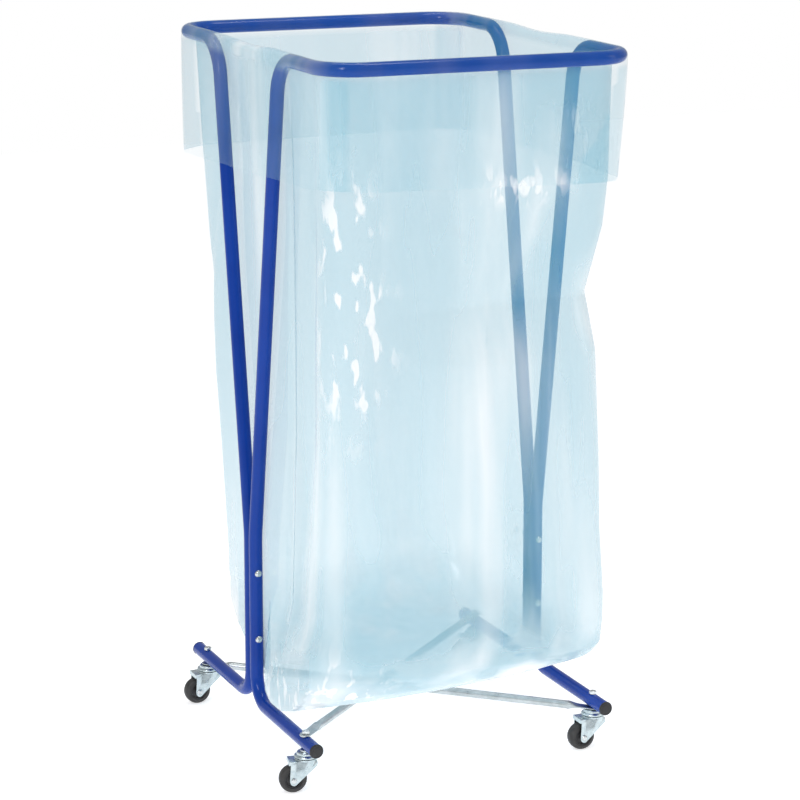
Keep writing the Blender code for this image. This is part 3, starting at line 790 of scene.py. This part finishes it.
def cuff_rows():
    """From the hem up outside the rails and over them to the inside."""
    rows = []
    for row in range(HEM_ROWS + 1):
        share = row / HEM_ROWS
        loop = ring_points(HALF_WIDTH + FILM_GAP, HALF_DEPTH + FILM_GAP, TUBE_BENDS[0] + FILM_GAP)
        made = []
        for x, y in loop:
            across, back = x / HALF_WIDTH, y / HALF_DEPTH
            hem = HEM_HEIGHT - 0.0015 * across - 0.0055 * back + 0.0055 * across * back
            hem += 0.002 * noise.noise((9 * x, 9 * y, 1.0))
            z = hem + (RAIL_HEIGHT - hem) * share
            free = (1 - share) ** 0.8
            ripple = noise.noise((17 * x, 17 * y, 2.2 * z)) + 0.5 * noise.noise((41 * x, 41 * y, 5 * z))
            out = Vector((x / HALF_WIDTH, y / HALF_DEPTH)).normalized() * free * (0.0022 + 0.0032 * ripple)
            front_right = max(0.0, (1 + x / HALF_WIDTH) / 2) * max(0.0, (1 - y / HALF_DEPTH) / 2)
            rear_left = max(0.0, (1 - x / HALF_WIDTH) / 2) * max(0.0, (1 + y / HALF_DEPTH) / 2)
            drawn = (1 - share) ** 1.2 * (0.016 * front_right ** 2 - 0.005 * rear_left ** 2)
            past_leg = min(1.0, max(0.0, (abs(y) - LEG_TOP_DEPTH - 0.020) / 0.080))
            side = x + out.x - drawn * 0.6 * past_leg
            if abs(x) > HALF_WIDTH:
                clear = HALF_WIDTH + TUBE_RADIUS + LEG_CLEARANCE - 0.030 * past_leg
                side = math.copysign(max(abs(side), clear), x)
            made.append((side, y + out.y + drawn, z))
        rows.append(made)
    for step in range(1, RAIL_STEPS + 1):
        turn = math.pi * step / RAIL_STEPS
        offset = FILM_GAP * math.cos(turn)
        loop = ring_points(HALF_WIDTH + offset, HALF_DEPTH + offset, TUBE_BENDS[0] + offset)
        made = []
        for x, y in loop:
            drop = unsupported((x, y))
            z = RAIL_HEIGHT + (FILM_GAP - 0.0035 * drop) * math.sin(turn)
            made.append((x, y, z))
        rows.append(made)
    return rows


def body_point(x, y, height, half_x, half_y, pull_share):
    """A point of the hanging wall after its corners are pulled in."""
    for (x_sign, y_sign), pulls in CORNER_PULL.items():
        weight = max(0.0, (1 + x_sign * x / half_x) / 2) * max(0.0, (1 + y_sign * y / half_y) / 2)
        pull_x, pull_y = between(pulls, height)
        x -= x_sign * weight * pull_x * pull_share
        y -= y_sign * weight * pull_y * pull_share
    return x, y


def folds(x, y, z, near_leg):
    """How far the wall stands out of its smooth shape: long pulls, a few sharp folds and small crumples."""
    long_pull = noise.noise((8 * x, 8 * y, 0.9 * z)) * 0.0060
    sharp = 1 - abs(noise.noise((7 * x, 7 * y, 1.3 * z + 3.0))) * 9
    fold = max(0.0, sharp) ** 2 * 0.0030
    small = noise.noise((26 * x, 26 * y, 4 * z)) * 0.0005
    crumple = 0.0
    for spot, reach, depth in CRUMPLES:
        far = (Vector((x, y, z)) - Vector(spot)).length / reach
        if far < 2.5:
            crumple += math.exp(-far * far) * depth * noise.noise((75 * x, 75 * y, 60 * z))
    total = long_pull - fold + small + crumple
    return min(total, 0.0010) if near_leg else total


def sack_rows():
    rows = cuff_rows()
    inner_y = HALF_DEPTH - FILM_GAP
    inner_x = HALF_WIDTH - FILM_GAP
    for height in np.linspace(RAIL_HEIGHT - 0.006, LOWER_START, HANG_ROWS):
        ease = min(1.0, (RAIL_HEIGHT - height) / EASE_DEPTH)
        half_x = inner_x + (SACK_X - inner_x) * ease
        half_y = inner_y + (SACK_Y - inner_y) * ease
        radius = TUBE_BENDS[0] - FILM_GAP + (SACK_CORNER - TUBE_BENDS[0] + FILM_GAP) * ease
        rows.append(wall_row(height, half_x, half_y, radius, ease, 1.0))
    for row in range(1, LOWER_ROWS):
        share = row / LOWER_ROWS
        at = share * (len(LOWER_END) - 1)
        index = min(int(at), len(LOWER_END) - 2)
        part = at - index
        height, in_x, depth = (a + (b - a) * part for a, b in zip(LOWER_END[index], LOWER_END[index + 1]))
        radius = min(SACK_CORNER + (0.012 - SACK_CORNER) * share, 0.9 * SACK_Y * max(depth, ROUND_SHARE))
        half_y = SACK_Y * max(depth, SEAM_SHARE)
        made = wall_row(height, SACK_X - in_x, half_y, radius, 1 - share, min(1.0, depth / 0.4))
        rows.append([(x, y + SEAM_Y * (1 - depth) ** 2, z) for x, y, z in made])
    rows.append(seam_row())
    return rows


def seam_row():
    """The sealed end: front and rear points meet in one line, level at the left and rising at the right."""
    half_x = SACK_X - LOWER_END[-1][1]
    loop = ring_points(half_x, SACK_Y * SEAM_SHARE, 0.9 * SACK_Y * ROUND_SHARE)
    return [(x + MID_X, SEAM_Y, SACK_BOTTOM + corner_rise(x / half_x, 0.0, SACK_BOTTOM)) for x, _ in loop]


def corner_rise(across, back, height):
    """How far the lower end rises towards its corners. Both shares run from -1 to 1."""
    if height >= LOWER_START:
        return 0.0
    rise = 0.0
    for (x_sign, y_sign), most in CORNER_LIFT.items():
        rise += most * max(0.0, (1 + x_sign * across) / 2) ** 3 * max(0.0, (1 + y_sign * back) / 2)
    return rise * (LOWER_START - height) / LIFT_SPAN


def leg_depth(z):
    """How far from the middle plane the legs stand at a height."""
    share = max(0.0, (z - LEGS_MEET_HEIGHT) / (RAIL_HEIGHT - LEGS_MEET_HEIGHT))
    return UPRIGHT_DEPTH + (LEG_TOP_DEPTH - UPRIGHT_DEPTH) * share


def beside_legs(x, y, z):
    """x, kept clear of the legs and free to stand out in front of and behind them."""
    past = min(1.0, max(0.0, (abs(y) - leg_depth(z) - 0.026) / 0.040))
    widest = LEG_SIDE + (WIDEST - LEG_SIDE) * past * past * (3 - 2 * past)
    return max(-widest, min(widest, x))


def hanging_crease(x, y, z):
    """Two upright creases that hang from the leg tops, one at the front left and one at the rear right."""
    total = 0.0
    for x_sign, depth in ((-1, -LEG_TOP_DEPTH), (1, LEG_TOP_DEPTH - 0.008)):
        if x * x_sign > SACK_X - 0.05:
            away = (y - depth - 0.004 * noise.noise((0, 0, 3 * z))) / 0.007
            total += math.exp(-away * away)
    return total


def wall_row(height, half_x, half_y, radius, ease, pull_share):
    loop = ring_points(half_x, half_y, radius)
    after = np.roll(loop, -1, 0) - np.roll(loop, 1, 0)
    made = []
    for (x, y), (along_x, along_y) in zip(loop, after):
        length = math.hypot(along_x, along_y) or 1.0
        out_x, out_y = along_y / length, -along_x / length
        lift = corner_rise(x / half_x, y / half_y, height)
        moved_x, moved_y = body_point(x, y, height, half_x, half_y, pull_share)
        near_leg = abs(x) > half_x - 0.02
        stand = folds(moved_x, moved_y, height, near_leg) * ease
        stand -= 0.006 * hanging_crease(moved_x, moved_y, height) * ease
        py = moved_y + out_y * stand
        px = beside_legs(moved_x + out_x * stand, py, max(height + lift, SACK_BOTTOM))
        made.append((px + MID_X, py, max(height + lift, SACK_BOTTOM)))
    return made


def film_veil(spot):
    """How strongly the film shows: faint where tight over a rail, dense where it gathers at the seal."""
    x, y = spot.x - MID_X, spot.y
    outside = abs(x) > HALF_WIDTH + 0.004 or abs(y) > HALF_DEPTH + 0.004
    wall = CUFF_VEIL if outside else 1.0
    over_rail = min(1.0, 2 * max(0.0, 1 - abs(spot.z - RAIL_HEIGHT) / 0.016))
    on_side = min(1.0, max(0.0, (HALF_DEPTH - abs(y)) / 0.11)) if abs(x) > HALF_WIDTH - 0.02 else 0.0
    tight = TIGHT_VEIL + 0.74 * on_side
    gathered = min(1.0, max(0.0, (0.205 - spot.z) / 0.09))
    return wall + (tight - wall) * over_rail + 0.75 * gathered


def film_milk_and_sheen(spot):
    """Where the film is whitened: along its creases, where it is crumpled, on the cuff band over the rails
    and towards the sealed end. Along creases and crumples it is the film's own milkiness; on the band over
    the rails, brightest over the open sides, it is painted highlight standing in for the sheen of the taut
    film.
    """
    x, y, z = spot.x - MID_X, spot.y, spot.z
    inside = abs(x) < HALF_WIDTH - 0.006
    milk_and_sheen = 0.55 * hanging_crease(x, y, z) if inside and z < 0.9 else 0.0
    for centre, reach, _ in CRUMPLES:
        far = (Vector((x, y, z)) - Vector(centre)).length / reach
        milk_and_sheen += math.exp(-far * far) * 0.9
    # painted highlight: a whitish band on the cuff and over the rails, brightest over the open sides, stands
    # in for the sheen of the taut film there
    if z > HEM_HEIGHT - 0.02 and not inside:
        milk_and_sheen += 0.22 + 0.45 * unsupported((x, y)) * max(0.0, (z - 0.93) / 0.10)
    milk_and_sheen = max(milk_and_sheen, 0.66 * min(1.0, max(0.0, (0.225 - z) / 0.10)))
    return min(1.0, milk_and_sheen)


def film_painted_gleam(spot):
    """Where small bright glints are painted into the film as highlights, strongest at the middle of each
    place listed.
    """
    place = Vector((spot.x - MID_X, spot.y, spot.z))
    total = 0.0
    for centre, size in PAINTED_GLEAMS:
        far = sum(((place[axis] - centre[axis]) / size[axis]) ** 2 for axis in range(3))
        total += math.exp(-far)
    return min(1.0, 1.2 * total)


def add_sack():
    rows = sack_rows()
    shift = len(cuff_rows())
    rows = [[(x + MID_X, y, z) for x, y, z in row] for row in rows[:shift]] + rows[shift:]
    mesh = loft_mesh([[Vector(point) for point in row] for row in rows], (False, False))
    mesh = cleaned(mesh, 2e-5)
    sack = finished("film_sack", mesh, "root", "clear_film", FILM, "sack")
    mesh.set_sharp_from_angle(angle=math.radians(180))
    for label, measure in (("veil", film_veil), ("milk_and_sheen", film_milk_and_sheen), ("painted_gleam", film_painted_gleam)):
        values = mesh.attributes.new(label, "FLOAT", "POINT")
        for vertex, value in zip(mesh.vertices, values.data):
            value.value = measure(vertex.co)
    return sack


# ---- CAD nodes that stay ----
def dress_kept_nodes():
    for node in frame["nodes"].values():
        if not node.hide_render:
            node.data.materials.clear()
            node.data.materials.append(ZINC_FASTENER)


# ---- room ----
STUDIO_LIGHT = 0.50  # how brightly the pale studio lights the trolley, against how bright it looks


def add_floor():
    mesh = bpy.data.meshes.new("floor")
    reach = 6.0
    corners = [(-reach, -reach, 0), (reach, -reach, 0), (reach, reach, 0), (-reach, reach, 0)]
    mesh.from_pydata(corners, [], [(0, 1, 2, 3)])
    floor = new_object("floor", mesh)
    made, tree, shader, place = started("pale floor")
    pale = mixed(tree, cloud(tree, place, 2.0), (0.88, 0.89, 0.90), (0.92, 0.92, 0.93))
    tree.links.new(pale, shader.inputs["Base Color"])
    shader.inputs["Roughness"].default_value = 0.7
    shader.inputs["Emission Color"].default_value = (1.0, 1.0, 1.0, 1.0)
    shader.inputs["Emission Strength"].default_value = 0.56
    mesh.materials.append(made)


def add_light(name, spot, target, size, power):
    light = bpy.data.lights.new(name, "AREA")
    light.shape = "RECTANGLE"
    light.size, light.size_y = size
    light.energy = power
    lamp = new_object(name, light)
    lamp.location = spot
    lamp.rotation_euler = (Vector(target) - Vector(spot)).to_track_quat("-Z", "Y").to_euler()


def add_room():
    add_floor()
    world = bpy.data.worlds.new("studio")
    bpy.context.scene.world = world
    world.use_nodes = True
    tree = world.node_tree
    ray = tree.nodes.new("ShaderNodeLightPath")
    tree.nodes["Background"].inputs["Color"].default_value = (1.0, 1.0, 1.0, 1.0)
    strength = spread(tree, ray.outputs["Is Camera Ray"], 0.0, 1.0, STUDIO_LIGHT, 1.0)
    tree.links.new(strength, tree.nodes["Background"].inputs["Strength"])
    middle = (MID_X, 0, 0.5)
    add_light("key", (-2.4, -2.4, 2.6), middle, (0.5, 1.8), 42)
    add_light("fill", (2.6, -1.6, 1.6), middle, (0.8, 2.0), 10)
    add_light("top", (0.2, 0.2, 3.2), middle, (1.8, 0.35), 26)


def add_camera():
    """Looks at the trolley from its front left, a little above it."""
    azimuth, elevation, distance = math.radians(23.14), math.radians(11.76), 4.146
    aim = Vector((MID_X + 0.0066, 0, 0.6138))
    back = Vector((-math.sin(azimuth) * math.cos(elevation), -math.cos(azimuth) * math.cos(elevation),
                   math.sin(elevation)))
    data = bpy.data.cameras.new("camera")
    data.sensor_width = 36
    data.lens = 127.06
    data.shift_y = -0.09375
    camera = new_object("camera", data)
    camera.location = aim + back * distance
    camera.rotation_euler = (-back).to_track_quat("-Z", "Y").to_euler()
    bpy.context.scene.camera = camera


bpy.context.scene.view_settings.view_transform = "Standard"
add_camera()
add_frame()
add_all_fasteners()
add_casters()
add_sack()
dress_kept_nodes()
add_room()
